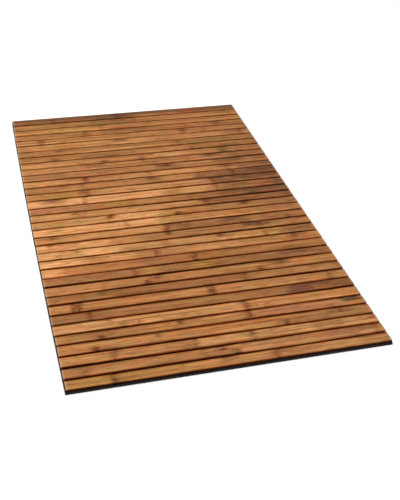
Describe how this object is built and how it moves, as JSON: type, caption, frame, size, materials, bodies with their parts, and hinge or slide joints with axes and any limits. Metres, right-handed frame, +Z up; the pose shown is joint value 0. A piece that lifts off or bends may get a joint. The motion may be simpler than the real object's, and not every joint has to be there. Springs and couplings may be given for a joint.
{
  "type": "bamboo bath mat",
  "caption": "Flat rectangular bath mat of planed bamboo slats laid side by side across a thin dark felt backing.",
  "frame": {"origin": "centre of the mat's underside, on the surface that it lies on", "axes": "+X along the slats, to the right seen from the front edge; +Y along the mat from the front edge to the far edge; +Z up"},
  "size_m": [0.5, 0.8, 0.007],
  "materials": {
    "bamboo": "toasted bamboo under satin varnish",
    "felt": "matt, dense charcoal felt"
  },
  "bodies": {
    "root": {"backing": "felt", "slat_01": "bamboo", "slat_02": "bamboo", "slat_03": "bamboo", "slat_04": "bamboo", "slat_05": "bamboo", "slat_06": "bamboo", "slat_07": "bamboo", "slat_08": "bamboo", "slat_09": "bamboo", "slat_10": "bamboo", "slat_11": "bamboo", "slat_12": "bamboo", "slat_13": "bamboo", "slat_14": "bamboo", "slat_15": "bamboo", "slat_16": "bamboo", "slat_17": "bamboo", "slat_18": "bamboo", "slat_19": "bamboo", "slat_20": "bamboo", "slat_21": "bamboo", "slat_22": "bamboo", "slat_23": "bamboo", "slat_24": "bamboo", "slat_25": "bamboo", "slat_26": "bamboo", "slat_27": "bamboo", "slat_28": "bamboo", "slat_29": "bamboo", "slat_30": "bamboo", "slat_31": "bamboo", "slat_32": "bamboo", "slat_33": "bamboo", "slat_34": "bamboo", "slat_35": "bamboo"}
  },
  "joints": []
}
